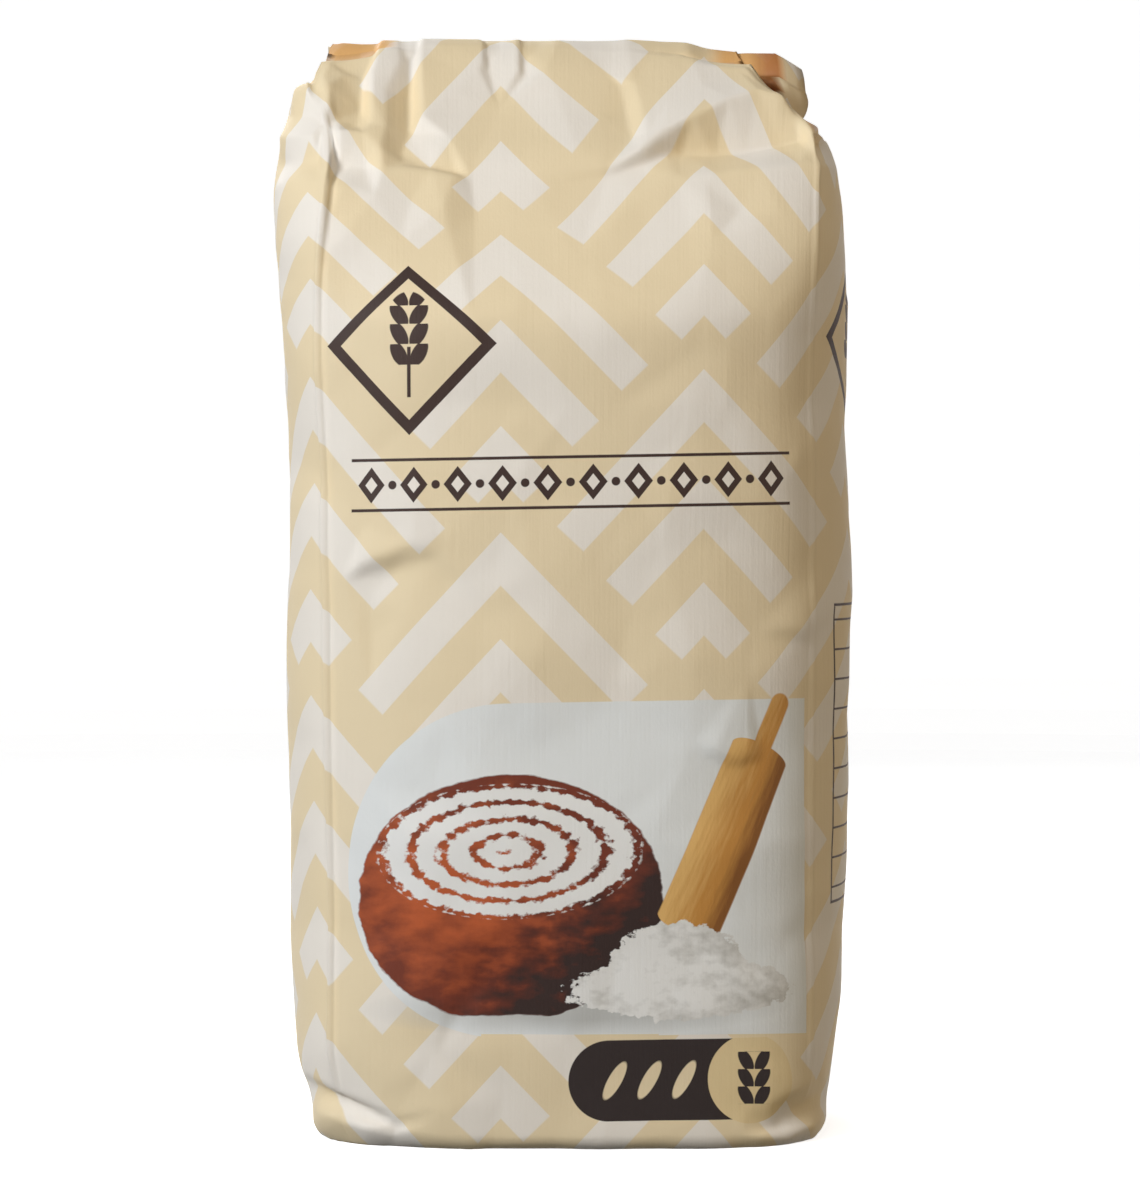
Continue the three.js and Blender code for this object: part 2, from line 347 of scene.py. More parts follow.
class Skin:
    """The sheet as a grid: one row per paper height, one column per place round the bag."""

    def __init__(self):
        angles = np.linspace(0, np.pi / 2, FOOT_ROWS, endpoint=False)
        tube = row_heights()
        self.h = np.concatenate([BASE_RADIUS * (1 - np.cos(angles)), tube])[:, None]
        inset = np.concatenate([BASE_RADIUS * (1 - np.sin(angles)), np.zeros(len(tube))])[:, None]
        self.q_front = np.linspace(0, 1, FRONT_CELLS + 1)[None, :]
        self.q_back = np.linspace(0, 1, BACK_CELLS + 1)[None, :]
        self.right_stops = side_stops(self.h, 1)
        self.left_stops = side_stops(self.h, -1)[:, ::-1]
        self.points = self.shape_panels()
        self.across = np.zeros(self.points.shape[:2])
        self.panel = np.zeros(self.points.shape[:2], int)
        shares = (self.q_front, self.right_stops, self.q_back, self.left_stops)
        for number, (columns, share) in enumerate(zip((FRONT, RIGHT, BACK, LEFT), shares)):
            self.panel[:, columns] = number
            self.across[:, columns] = 2 * share - 1
        self.round_foot(inset)
        self.width_row = self.row_near(PRINT_WIDTH_Z)
        self.lay_out_paper()
        self.lay_out_print()

    def shape_panels(self):
        panels = [
            front_panel(self.h, self.q_front),
            side_panel(self.h, self.right_stops, 1),
            back_panel(self.h, self.q_back),
            side_panel(self.h, self.left_stops, -1),
        ]
        return np.concatenate([np.stack(np.broadcast_arrays(*panel), axis=-1) for panel in panels], axis=1)

    def row_near(self, height):
        return int(np.argmin(np.abs(self.h[:, 0] - height)))

    def round_foot(self, inset):
        x, y = self.points[..., 0], self.points[..., 1]
        near = 1 - smooth(self.h / CORNER_TOP)
        corner = np.abs(self.across)
        pull = np.where(x < 0, CORNER_PULL_LEFT, CORNER_PULL_RIGHT)
        keep = 1 - (inset + pull * corner ** 6 * near) / np.hypot(x, y)
        full_lift = np.where(x < 0, CORNER_LIFT_LEFT, CORNER_LIFT_RIGHT)
        lift = full_lift * corner ** 4 * (1 - inset / BASE_RADIUS) * near
        self.points[..., 0] = x * keep
        self.points[..., 1] = y * keep
        self.points[..., 2] += lift

    def lay_out_paper(self):
        """Places on the paper: u round the bag from the middle of the front, v up the paper."""
        ring = self.points[self.width_row]
        step = np.linalg.norm(np.diff(ring, axis=0, append=ring[:1]), axis=1)
        front = np.concatenate([[0], np.cumsum(step[:FRONT_CELLS])])
        self.half_front = front[-1] / 2
        self.side_paper = step[FRONT_CELLS:FRONT_CELLS + SIDE_CELLS].sum()
        self.back_edge = self.half_front + self.side_paper
        self.turn = 2 * (self.half_front + self.back_edge)
        round_back = self.back_edge + self.q_back * 2 * self.half_front
        self.u = np.zeros_like(self.across)
        self.u[:, FRONT] = front - self.half_front
        self.u[:, RIGHT] = self.half_front + self.right_stops * self.side_paper
        self.u[:, BACK] = np.where(self.q_back > 0.5, round_back - self.turn, round_back)
        self.u[:, LEFT] = -self.half_front - self.left_stops * self.side_paper
        lengths = np.linalg.norm(np.diff(self.points, axis=0), axis=2)
        v = np.concatenate([np.zeros((1, lengths.shape[1])), np.cumsum(lengths, axis=0)])
        v = v - np.interp(PRINT_LEVEL_Z, self.h[:, 0], v[:, FRONT_CELLS // 2]) + PRINT_LEVEL_Z
        v[:, RIGHT] = mix(column(v, FRONT.stop - 1), column(v, BACK.start), self.right_stops)
        v[:, LEFT] = mix(column(v, FRONT.start), column(v, BACK.stop - 1), self.left_stops)
        self.v = v

    def lay_out_print(self):
        """Places in the print. That of the front runs straight as seen from the front."""
        self.print_u, self.print_v = self.u.copy(), self.v.copy()
        x, z = [seen[:, FRONT] for seen in self.seen()]
        row_x = x[self.width_row]
        u = np.interp(x, row_x, self.u[self.width_row, FRONT])
        u += (x - np.clip(x, row_x[0], row_x[-1])) * (self.half_front / row_x[-1])
        v = EYE_HEIGHT + (z - EYE_HEIGHT) / PRINT_ENLARGED
        v += mix(PRINT_GAIN_LEFT, PRINT_GAIN_RIGHT, climb(u, -8, 24)) * climb(z, 152, 36)
        ridge = self.row_near(RIDGE_Z + 2)
        v[ridge:] = v[ridge] + self.v[ridge:, FRONT] - self.v[ridge, FRONT]
        self.print_u[:, FRONT], self.print_v[:, FRONT] = u, v
        self.print_u[:, RIGHT] = mix(u[:, -1:], self.back_edge, self.right_stops)
        self.print_v[:, RIGHT] = mix(v[:, -1:], column(self.v, BACK.start), self.right_stops)
        self.print_u[:, LEFT] = mix(u[:, :1], -self.back_edge, self.left_stops)
        self.print_v[:, LEFT] = mix(v[:, :1], column(self.v, BACK.stop - 1), self.left_stops)

    def normals(self):
        """Outward directions. They are taken over neighbours, and across the join of the columns."""
        points = np.concatenate([self.points[:, -1:], self.points, self.points[:, :1]], axis=1)
        along = points[:, 2:] - points[:, :-2]
        up = np.gradient(self.points, axis=0)
        normal = np.cross(along, up)
        return normal / np.maximum(np.linalg.norm(normal, axis=2, keepdims=True), 1e-9)

    def tuck(self):
        return np.where(self.panel == ON_LEFT, tuck_at(self.h, -1), tuck_at(self.h, 1))

    def seen(self):
        """Where each point is seen from the front, in the plane through the middle of the bag."""
        shrink = EYE_DISTANCE / (EYE_DISTANCE + self.points[..., 1])
        return self.points[..., 0] * shrink, EYE_HEIGHT + (self.points[..., 2] - EYE_HEIGHT) * shrink


def facet_field(x, z, points, edges):
    """Flat facets between points (x, z, height), with their creases kept along the given edges."""
    flat = [Vector(point[:2]) for point in points]
    corners, _, triangles, origins, _, _ = delaunay_2d_cdt(flat, edges, [], 0, 1e-5)
    heights = [points[origin[0]][2] if origin else 0.0 for origin in origins]
    field = np.zeros_like(x)
    for a, b, c in triangles:
        (xa, za), (xb, zb), (xc, zc) = corners[a], corners[b], corners[c]
        near = (x >= min(xa, xb, xc)) & (x <= max(xa, xb, xc))
        near &= (z >= min(za, zb, zc)) & (z <= max(za, zb, zc))
        area = (xb - xa) * (zc - za) - (xc - xa) * (zb - za)
        if abs(area) < 1e-6 or not near.any():
            continue
        px, pz = x[near], z[near]
        weight_b = ((px - xa) * (zc - za) - (xc - xa) * (pz - za)) / area
        weight_c = ((xb - xa) * (pz - za) - (px - xa) * (zb - za)) / area
        height = heights[a] + weight_b * (heights[b] - heights[a]) + weight_c * (heights[c] - heights[a])
        hit = (weight_b >= -1e-6) & (weight_c >= -1e-6) & (weight_b + weight_c <= 1 + 1e-6)
        field[near] = np.where(hit, height, field[near])
    return field


def strewn_points(low, high, spacing, spread, avoid, seed):
    """Jittered points over a rectangle with small random heights, away from those to avoid."""
    draw = np.random.default_rng(seed)
    taken = np.array([point[:2] for point in avoid]) if avoid else np.zeros((0, 2))
    points = []
    for x in np.arange(low[0], high[0], spacing):
        for z in np.arange(low[1], high[1], spacing):
            place = np.array([x, z]) + draw.uniform(-0.4, 0.4, 2) * spacing
            height = draw.normal(0, spread)
            if len(taken) == 0 or np.min(np.hypot(*(taken - place).T)) > spacing * 0.75:
                points.append((place[0], place[1], height))
    return points


# Folds of the front as the camera sees them: lines through (x, z, height over the smooth face).
LEFT_HEM = [
    [(-48, 193.5, 0.6), (-47.7, 182, 0.6), (-47.6, 176, 0.6), (-48.5, 169, 0.3)],
    [(-46.8, 193.5, -0.1), (-46.6, 182, -0.3), (-46.5, 176, -0.2), (-47.4, 169, 0)],
]
LEFT_SHOULDER = [
    [(-52.5, 199.5, 1.0), (-48.5, 202, 1.4), (-44, 203, 0.7)],
    [(-47, 200, 2.0), (-47, 196.5, 1.7)],
    [(-54.5, 195.5, -0.3), (-49.5, 195.5, 0)],
    [(-45, 195, -0.3), (-41.5, 194, -0.8)],
    [(-56, 191, 1.0), (-49.5, 191, 1.2)],
    [(-45, 191.8, 1.5), (-40, 191.5, 1.2)],
    [(-56, 186.5, -1.1), (-49.5, 187, -0.9)],
    [(-45, 187, -2.0), (-40, 186.8, -1.6)],
    [(-55, 183, 0.2), (-50, 182.5, 0.3)],
    [(-44, 182, 0.3), (-38, 180, 0.7)],
]
LEFT_PLEATS = [
    [(-40.3, 203, -0.8), (-40.6, 198, -1.9)],
    [(-38.5, 203, 1.3), (-38.6, 198, 1.2), (-38.8, 193.5, 0.7)],
    [(-33, 205.8, 0.4), (-36, 200, 0.8), (-35.8, 193, 0.9), (-37, 189, 0.9), (-36.5, 185, 0.7)],
    [(-30.7, 206, -1.0), (-31, 200.5, -2.1), (-31.3, 193.5, -1.6), (-32.8, 189.5, -1.8)],
    [(-29.2, 205.5, 0.8), (-29, 200, 1.0), (-28.7, 195, 1.0), (-22.5, 199.5, 0.8), (-17.8, 204.5, 0.5)],
]
LEFT_DENT = [
    [(-32.5, 187, -0.9), (-27, 186.4, -1.4), (-22, 185.4, -1.6)],
    [(-32.5, 185.5, 0.6), (-27, 185, 0.5), (-22.6, 184, 0.6), (-24.5, 177.5, 1.3), (-23.4, 172, 0.7)],
    [(-19.5, 184, -0.6), (-18.5, 177, -0.5)],
]
TOP_PLEATS = [
    [(-16.8, 209.5, 0.4), (-16.7, 205, 0.3)],
    [(-16, 209.5, -0.8), (-15.9, 205, -0.6)],
    [(-9.9, 210, 0.4), (-9.9, 204, 0.3)],
    [(-9, 210, -0.9), (-8.9, 203.5, -0.8)],
]
RIGHT_WEDGE = [
    [(7, 185.3, 0.2), (13.5, 188, 1.5), (17.5, 190.3, 2.2), (24, 193.3, 2.9), (31, 196.3, 3.2),
     (36.5, 198, 3.2), (41, 197.4, 2.4)],
    [(7.5, 184.5, -0.7), (14.5, 187, -0.9), (18.5, 189, -1.5), (21.5, 190, -2.4), (28, 190.4, -3.2),
     (34, 191, -3.6), (41, 192.2, -3.5), (47, 193, -2.6)],
    [(21, 183.5, 0.7), (29, 184, 0.8), (37, 185, 0.9), (45, 186, 0.5)],
]
RIGHT_PLEATS = [
    [(9.7, 201.5, -0.4), (11, 196.5, -0.7), (12, 191, -0.4)],
    [(12.5, 201.5, 0.6), (14, 196.5, 1.1), (15, 191.2, 1.3)],
    [(19.5, 197, 1.8), (25.5, 200, 2.2), (33, 203, 1.6)],
    [(26.5, 182, 0.8), (27.2, 177, 1.0), (28, 171, 0.6)],
]
WAIST = [
    [(-44.2, 105.3, 0.2), (-40.8, 107.7, 1.0), (-36.6, 109.8, 1.1), (-30.5, 112, 0.7), (-25, 114.3, 0.2)],
    [(-39, 106.3, -0.4), (-34.6, 107.2, -0.7), (-28.5, 109, -0.5), (-25, 110.5, 0)],
    [(-39.4, 101.8, -0.5), (-38.7, 95, -0.7), (-38.8, 83, -0.2)],
    [(23.5, 73, 0.1), (28, 71.7, 0.6), (35, 70.2, 0.4)],
    [(30.7, 69, -0.3), (38, 70.8, -0.4), (44.7, 73, -0.1)],
]
FOOT = [
    [(-51.6, 9, 0.4), (-44.7, 5.6, 0.7), (-40, 3.6, 0.7), (-34, 0.6, 0.3)],
    [(-51, 7.3, -1.0), (-44.7, 4.2, -1.5), (-40, 2.1, -1.4), (-34, -0.8, -0.5)],
    [(-50, 4, 0.2), (-47.5, 2.5, 1.4), (-44.5, 1, 1.7), (-39, -1, 1.3), (-34, -3, 0.2)],
    [(38, 3, 0.3), (44, 6, 0.7), (48, 9, 0.3)],
    [(40, -1.5, -0.6), (45, 2, -1.3), (48.5, 5, -0.7)],
    [(33, -2.5, 0.5), (42, -2.8, 1.0), (46.5, -0.5, 1.1), (49, 1.5, 0.5)],
]
FRONT_FOLDS = [
    *LEFT_HEM, *LEFT_SHOULDER, *LEFT_PLEATS, *LEFT_DENT, *TOP_PLEATS,
    *RIGHT_WEDGE, *RIGHT_PLEATS, *WAIST, *FOOT,
]

# Places between the folds where the face is nearly smooth.
CALM = [
    (-48, 206, 0.6), (-23, 206.5, 0.4), (-24, 192, 0), (-14, 197, -0.2), (-4.5, 204, 0.6),
    (1, 190, 0.3), (6, 196, 0), (7.5, 203, -0.2), (14, 180, 0.3), (23, 173, 0.2), (33, 177, -0.2),
    (41, 176, 0.3), (-31, 179, 0.1), (-44, 172, 0.3), (-33, 171, 0.4), (-42, 98, 0), (-32, 99, 0),
    (-40, 116, 0), (-23, 2, 0.8), (34, 2, 0),
]

# Strewn facets: the corners of the rectangle they fill as seen from the front, their spacing and
# the spread of their heights, for the front and for the rest of the paper.
FRONT_REACH = ((-75, -20), (75, 240))
FRONT_COARSE = (12.0, 0.3)
FRONT_FINE = (6.5, 0.07)
WRAP_COARSE = (17.0, 0.45)
WRAP_FINE = (8.0, 0.12)

# Height and half width of the ridge on an edge of the front, and of the line beside the left one.
EDGE_RIDGE = 0.3
EDGE_REACH = 0.8
LINE_HEIGHT = 0.4
LINE_REACH = 0.6
LINE_OFFSET = 0.9  # from the line's crest to its groove
SEAM_OVERLAP = 12.0
SEAM_THICK = 0.35


def front_facets(x, z):
    """The folds of the front with strewn facets between them, and finer facets over all."""
    points, edges = [], []
    for line in FRONT_FOLDS:
        edges += [(len(points) + i, len(points) + i + 1) for i in range(len(line) - 1)]
        points += line
    points += CALM
    points += strewn_points(*FRONT_REACH, *FRONT_COARSE, points, seed=3)
    fine = strewn_points(*FRONT_REACH, *FRONT_FINE, [], seed=4)
    return facet_field(x, z, points, edges) + facet_field(x, z, fine, [])


def wrap_facets(skin):
    """Faint facets of handled paper on the sides and the back."""
    width = skin.turn / 2 + 8
    reach = ((-width, -12), (width, 230))
    coarse = facet_field(skin.u, skin.v, strewn_points(*reach, *WRAP_COARSE, [], seed=21), [])
    fine = facet_field(skin.u, skin.v, strewn_points(*reach, *WRAP_FINE, [], seed=22), [])
    return coarse + fine


def waves(skin, seed, count=14, shortest=22.0, longest=70.0, height=0.11):
    """Long soft unevenness of a filled paper bag."""
    draw = np.random.default_rng(seed)
    total = np.zeros_like(skin.u)
    for _ in range(count):
        length = draw.uniform(shortest, longest)
        direction = draw.normal(size=3)
        direction /= np.linalg.norm(direction)
        phase = draw.uniform(0, 2 * math.pi)
        total += length / longest * np.sin(skin.points @ direction * 2 * math.pi / length + phase)
    return total * height


def soften(field):
    """Averages every point with its neighbours, round the bag and up it."""
    padded = np.concatenate([field[:, -1:], field, field[:, :1]], axis=1)
    field = (padded[:, :-2] + 4 * padded[:, 1:-1] + padded[:, 2:]) / 6
    padded = np.concatenate([field[:1], field, field[-1:]], axis=0)
    return (padded[:-2] + 4 * padded[1:-1] + padded[2:]) / 6


def front_relief(skin, facing):
    """The folds of the front, faded out where the sheet turns away, tucks in or folds over."""
    x = skin.points[..., 0]
    relief = front_facets(*skin.seen()) * facing * fall(skin.h, RIDGE_Z + 12, 10)
    relief *= skin.panel != ON_BACK
    ears_from = np.where(x > 0, 184, 195)
    inside_edges = smooth((1 - np.abs(skin.across)) * 20)
    relief *= mix(1.0, inside_edges, climb(skin.h, ears_from, 6))
    relief *= 1 - climb(x, 22, 6) * climb(skin.h, 204, 2)
    deepest = mix(-9.0, -0.3, climb(skin.h, 201, 4))
    return np.maximum(relief, deepest)


def edge_relief(skin):
    """The ridges of the front's two edges, and the sharp line that runs up beside the left one."""
    ridge = EDGE_RIDGE * peak(np.abs(skin.u) - skin.half_front, EDGE_REACH)
    past_left_edge = skin.u + skin.half_front
    line = LINE_HEIGHT * (peak(past_left_edge, LINE_REACH) - peak(past_left_edge - LINE_OFFSET, LINE_REACH))
    return ridge * fall(skin.h, TUCK_Z, 6) + line * fall(skin.h, 197, 6)


def seam_relief(skin):
    """The glued seam: doubled paper up the middle of the back."""
    return SEAM_THICK * (skin.u < SEAM_OVERLAP - skin.turn / 2) * (skin.panel == ON_BACK)


def press_creases(skin):
    """Moves the sheet along its outward direction by all creases and facets."""
    normal = skin.normals()
    facing = smooth(-normal[..., 1] * 3)
    outer = (skin.panel == ON_FRONT) | (skin.panel == ON_BACK) | (skin.tuck() < 0.05)
    above_foot = climb(skin.h, 2, 14)
    below_fin = 1 - 0.8 * climb(skin.h, 202, 4)
    loose = above_foot * below_fin
    moved = soften(front_relief(skin, facing) + wrap_facets(skin) * (1 - facing) * loose)
    moved += waves(skin, seed=11) * loose
    moved += (seam_relief(skin) + edge_relief(skin)) * above_foot
    skin.points += normal * (moved * outer)[..., None]
    skin.points[..., 2] = np.maximum(skin.points[..., 2], 0.0)


def grid_corners(rows, columns):
    """The four vertices of every face of a sheet that closes round the bag."""
    row, col = np.meshgrid(np.arange(rows - 1), np.arange(columns), indexing="ij")
    after = (col + 1) % columns
    low, high = row * columns, (row + 1) * columns
    return np.stack((low + col, low + after, high + after, high + col), axis=-1).reshape(-1, 4)


def build_skin():
    skin = Skin()
    press_creases(skin)
    rows, columns = skin.u.shape
    vertices = skin.points.reshape(-1, 3) + (AXIS_X, 0, 0)
    corners = grid_corners(rows, columns)
    floor = list(range(columns))[::-1]
    end = [(rows - 1) * columns + i for i in range(columns)]
    mesh = bpy.data.meshes.new("flour_bag_paper")
    mesh.from_pydata((vertices * MM).tolist(), [], corners.tolist() + [floor, end])
    mesh.update()
    write_print_map(mesh, skin, corners)
    write_pocket_painted_light(mesh, skin)
    mesh.polygons.foreach_set("use_smooth", [True] * len(corners) + [False, False])
    bag = bpy.data.objects.new("flour_bag_paper", mesh)
    bpy.context.scene.collection.objects.link(bag)
    return bag, skin, corners


def write_print_map(mesh, skin, corners):
    """Writes the places in the print, with no face torn where the count round the bag starts anew."""
    u = skin.print_u.ravel()[corners]
    v = skin.print_v.ravel()[corners]
    torn = u.max(axis=1) - u.min(axis=1) > skin.turn / 2
    u[torn] = np.where(u[torn] > 0, u[torn] - skin.turn, u[torn])
    layer = mesh.uv_layers.new(name="print")
    flat = np.zeros((len(mesh.loops), 2), np.float32)
    flat[:corners.size] = np.stack([u.ravel(), v.ravel()], axis=1)
    layer.data.foreach_set("uv", flat.ravel())


def write_attribute(mesh, name, values):
    attribute = mesh.attributes.new(name, "FLOAT", "POINT")
    attribute.data.foreach_set("value", values.astype(np.float32).ravel())


def write_pocket_painted_light(mesh, skin):
    """Writes the painted light at both ends of the top: a painted warm bounce light over the inner paper
    that shows there, and painted shade that darkens it towards the right end.
    """
    x = skin.points[..., 0]
    tucked = ((skin.panel == ON_RIGHT) | (skin.panel == ON_LEFT)) * smooth(skin.tuck() * 2.5)
    on_lip = (skin.panel == ON_RIGHT) * (x > 41.0) * (skin.across > 0.2)
    tucked = tucked * fall(skin.h, RIDGE_Z + 12, 4) * (1 - on_lip)
    gap = (skin.panel == ON_FRONT) * (climb(-x, 33, 4) + climb(x, 26, 5)) * smooth(skin.h - RIDGE_Z)
    gap = gap * fall(skin.h, RIDGE_Z + 11, 3)
    # Painted warm bounce light: how much of the orange pocket colour covers the print inside the tucks and
    # in the gaps beside the fin's ends.
    write_attribute(mesh, "pocket_bounce_light", tucked + gap)
    # Painted shade: the pocket paper grows darker towards the right end of the right pocket.
    write_attribute(mesh, "pocket_painted_shade", tucked * climb(x, 34.5, 5))


# Print colours, as the paper shows them in plain daylight, and two colours of painted light for the pockets
# at the ends of the top.
def srgb(red, green, blue):
    shares = (red / 255, green / 255, blue / 255)
    linear = [c / 12.92 if c <= 0.04045 else ((c + 0.055) / 1.055) ** 2.4 for c in shares]
    return (*linear, 1.0)


BEIGE = srgb(225, 207, 171)
WHITE = srgb(229, 222, 211)
# Painted warm bounce light on the inner paper of the pockets at the ends of the top.
POCKET_BOUNCE_LIGHT = srgb(214, 160, 92)
# Painted shade towards the right end of the right pocket.
POCKET_PAINTED_SHADE = srgb(150, 84, 34)
PANEL = srgb(222, 224, 222)
PANEL_SHADE = srgb(176, 176, 172)
BROWN = srgb(50, 33, 27)
BLACK_BROWN = srgb(30, 20, 18)
CIRCLE_BEIGE = srgb(222, 200, 154)
CRUST = srgb(104, 44, 25)
CRUST_LIGHT = srgb(176, 84, 42)
CRUST_DARK = srgb(34, 17, 12)
FLOUR = srgb(228, 227, 223)
FLOUR_SHADE = srgb(168, 165, 157)
WOOD = srgb(190, 134, 62)
WOOD_LIGHT = srgb(222, 178, 108)
WOOD_DARK = srgb(108, 62, 24)


class Field:
    """A number that varies over the paper, built up as maths nodes of one node tree."""

    tree = None

    def __init__(self, socket):
        self.socket = socket

    def __add__(self, other):
        return maths("ADD", self, other)

    def __sub__(self, other):
        return maths("SUBTRACT", self, other)

    def __rsub__(self, other):
        return maths("SUBTRACT", other, self)

    def __mul__(self, other):
        return maths("MULTIPLY", self, other)

    def __truediv__(self, other):
        return maths("DIVIDE", self, other)


def maths(operation, *values, clamp=False):
    node = Field.tree.nodes.new("ShaderNodeMath")
    node.operation = operation
    node.use_clamp = clamp
    for socket, value in zip(node.inputs, values):
        if isinstance(value, Field):
            Field.tree.links.new(value.socket, socket)
        else:
            socket.default_value = value
    return Field(node.outputs[0])


def inside(distance, soft=0.12):
    """1 where a distance is negative, with a soft edge."""
    return maths("MULTIPLY_ADD", distance, -1 / soft, 0.5, clamp=True)


def magnitude(value):
    return maths("ABSOLUTE", value)


def hypot(a, b):
    return maths("SQRT", maths("MULTIPLY_ADD", a, a, b * b))


def repeat(value, period):
    """Distance from the middle of the nearest of many equal cells."""
    return maths("FLOORED_MODULO", value, period) - period / 2


def turned(u, v, at, angle):
    c, s = math.cos(math.radians(angle)), math.sin(math.radians(angle))
    du, dv = u - at[0], v - at[1]
    return du * c + dv * s, dv * c - du * s


def oval(u, v, at, size):
    """Negative inside an ellipse, in fractions of its size."""
    return hypot((u - at[0]) / size[0], (v - at[1]) / size[1]) - 1.0


def noise(u, v, stretch, detail):
    vector = Field.tree.nodes.new("ShaderNodeCombineXYZ")
    for socket, value in zip(vector.inputs, (u * stretch[0], v * stretch[1])):
        Field.tree.links.new(value.socket, socket)
    node = Field.tree.nodes.new("ShaderNodeTexNoise")
    node.inputs["Scale"].default_value = 1.0
    node.inputs["Detail"].default_value = detail
    Field.tree.links.new(vector.outputs[0], node.inputs["Vector"])
    return Field(node.outputs[0])


class Paint:
    """Colours laid over each other."""

    def __init__(self, ground):
        self.colour = ground

    def over(self, mask, colour):
        node = Field.tree.nodes.new("ShaderNodeMix")
        node.data_type = "RGBA"
        link = Field.tree.links.new
        factor, below, above, result = node.inputs[0], node.inputs[6], node.inputs[7], node.outputs[2]
        link(mask.socket, factor)
        for socket, value in ((below, self.colour), (above, colour)):
            if isinstance(value, tuple):
                socket.default_value = value
            else:
                link(value, socket)
        self.colour = result


# The chevrons: columns of roofs, three sizes under each other over and over.
CHEVRON_STEP = 37.3
CHEVRON_START = (-13.3, 113.9)
CHEVRON_PERIOD = 58.5
CHEVRON_SLOPE = 1.05
CHEVRON_REACH = 27.0
CHEVRON_SHORTER = 9.0  # how much less far each next size reaches


def chevron_column(u, v, column_number):
    """White stripes of one column of roofs."""
    middle = maths("MULTIPLY_ADD", column_number, CHEVRON_STEP, CHEVRON_START[0])
    off = magnitude(u - middle)
    odd = maths("FLOORED_MODULO", column_number, 2.0)
    apex = maths("MULTIPLY_ADD", odd, CHEVRON_PERIOD / 2, CHEVRON_START[1])
    below = maths("FLOORED_MODULO", apex - v - off * CHEVRON_SLOPE, CHEVRON_PERIOD)
    pitch = CHEVRON_PERIOD / 3
    size = maths("FLOOR", below / pitch)
    local = below - size * pitch
    edge = maths("MULTIPLY_ADD", local, 0.5, off) + size * CHEVRON_SHORTER - CHEVRON_REACH
    return inside(maths("MAXIMUM", edge, (local - pitch / 2) * 0.7), 0.25)


def chevrons(u, v):
    left = maths("FLOOR", (u - CHEVRON_START[0]) / CHEVRON_STEP)
    return maths("MAXIMUM", chevron_column(u, v, left), chevron_column(u, v, left + 1.0))


def grain_ear(along, across, start, length, size):
    """An ear of grain along one axis: two rows of slanting grains. Negative inside."""
    cell = repeat(along - start, 1.45 * size)
    side = magnitude(across) - 0.72 * size
    lean_a = cell * 0.86 + side * 0.5
    lean_b = side * 0.86 - cell * 0.5
    grain = hypot(lean_a / (1.05 * size), lean_b / (0.52 * size)) - 1.0
    ends = magnitude(along - (start + length / 2)) - length / 2
    return maths("MAXIMUM", grain * 0.5 * size, ends)


def paint_emblem(paint, u, v, at, radius):
    """A plain square on its corner, with an upright ear of grain."""
    du, dv = u - at[0], v - at[1]
    distance = magnitude(du) + magnitude(dv)
    paint.over(inside(distance - radius), BROWN)
    paint.over(inside(distance - radius * 0.83), BEIGE)
    ear = grain_ear(v, du, at[1] - radius * 0.22, radius * 0.88, radius * 0.16)
    ear = maths("MAXIMUM", ear, oval(du, dv, (0.0, radius * 0.2), (radius * 0.29, radius * 0.46)) * 4.0)
    stem = maths("MAXIMUM", magnitude(du) - 0.35, magnitude(dv + radius * 0.3) - radius * 0.28)
    paint.over(inside(maths("MINIMUM", ear, stem)), BROWN)


TITLE_V = 122.9
TITLE_PITCH = 8.3
TITLE_REACH = 40.5


def paint_title(paint, u, v):
    """A row of lozenges and dots between two fine lines."""
    row = magnitude(v - TITLE_V)
    cell = magnitude(repeat(u + 42.0, TITLE_PITCH))
    lozenge = cell * 1.25 + row - 3.3
    dot = hypot(cell - TITLE_PITCH / 2, row) - 0.8
    reach = magnitude(u + 0.5)
    marks = maths("MAXIMUM", maths("MINIMUM", lozenge, dot), reach - TITLE_REACH)
    lines = maths("MAXIMUM", magnitude(row - 4.6) - 0.28, reach - (TITLE_REACH + 0.9))
    paint.over(inside(maths("MINIMUM", marks, lines)), BROWN)
    paint.over(inside(maths("MAXIMUM", lozenge + 1.8, reach - TITLE_REACH)), WHITE)


PILL_V = 13.2
PILL_RADIUS = 7.4
PILL_LEFT = 6.5  # where its round left end starts
PILL_RIGHT = 31.0


def paint_pill(paint, u, v):
    """A dark bar with three grains, and a round spot with an ear of grain over its right end."""
    bar = hypot(maths("MINIMUM", u - PILL_LEFT, 0.0), v - PILL_V) - PILL_RADIUS
    paint.over(inside(maths("MAXIMUM", bar, u - PILL_RIGHT)), BLACK_BROWN)
    cell = repeat(u - 4.4 - (v - PILL_V) * 0.5, 6.4)
    grain = maths("MAXIMUM", hypot(cell / 1.4, (v - PILL_V) / 3.4) - 1.0, magnitude(u - 14.0) - 9.6)
    paint.over(inside(grain), BEIGE)
    paint.over(inside(hypot(u - 33.0, v - PILL_V) - 8.2), CIRCLE_BEIGE)
    paint.over(inside(grain_ear(v, u - 33.6, 8.6, 9.6, 2.2)), BLACK_BROWN)


LOAF_AT = (-12.0, 47.0)
LOAF_SIZE = (28.5, 22.5)
LOAF_FOOT = 25.5
DUST_AT = (-12.0, 55.5)
DUST_SIZE = (25.0, 12.5)
DUST_RING = 0.24  # from ring to ring, in fractions of the dusted top


